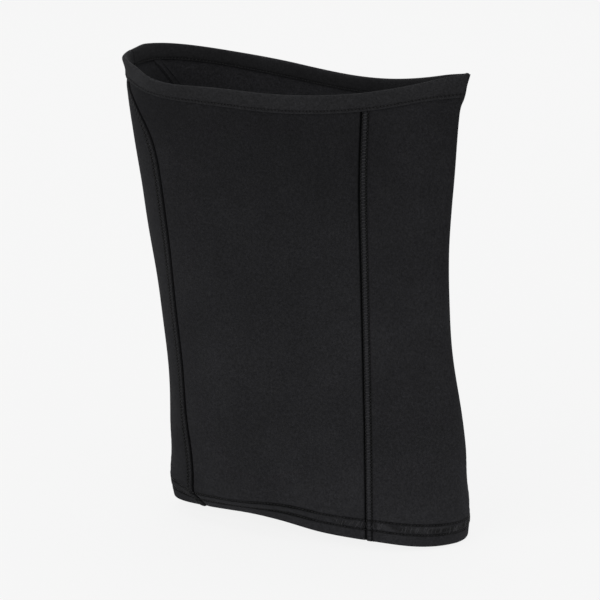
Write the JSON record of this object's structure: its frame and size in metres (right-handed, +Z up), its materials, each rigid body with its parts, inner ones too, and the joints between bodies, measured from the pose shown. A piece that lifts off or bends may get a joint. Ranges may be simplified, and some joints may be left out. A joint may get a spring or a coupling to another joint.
{
  "type": "neck gaiter",
  "caption": "Fitted tube neck gaiter of stretch jersey, shaped to cover the neck, chin and nose, with a bound face opening and a coverstitched hem.",
  "frame": {"origin": "middle of the neck opening, level with the lowest point of the hem, at the wearer's front", "axes": "+X to the wearer's front, +Y to the wearer's left, +Z up along the neck"},
  "size_m": [0.2351, 0.0976, 0.3092],
  "materials": {
    "jersey": "matte brushed stretch jersey",
    "binding_jersey": "matte stretch jersey strip",
    "thread": "textured polyester sewing thread"
  },
  "bodies": {
    "root": {"front_panel": "jersey", "right_side_panel": "jersey", "left_side_panel": "jersey", "back_panel": "jersey", "face_opening_binding": "binding_jersey", "right_front_seam_threads": "thread", "left_front_seam_threads": "thread", "right_back_seam_threads": "thread", "left_back_seam_threads": "thread", "binding_stitching": "thread", "hem_needle_threads": "thread", "hem_looper_thread": "thread"}
  },
  "joints": []
}
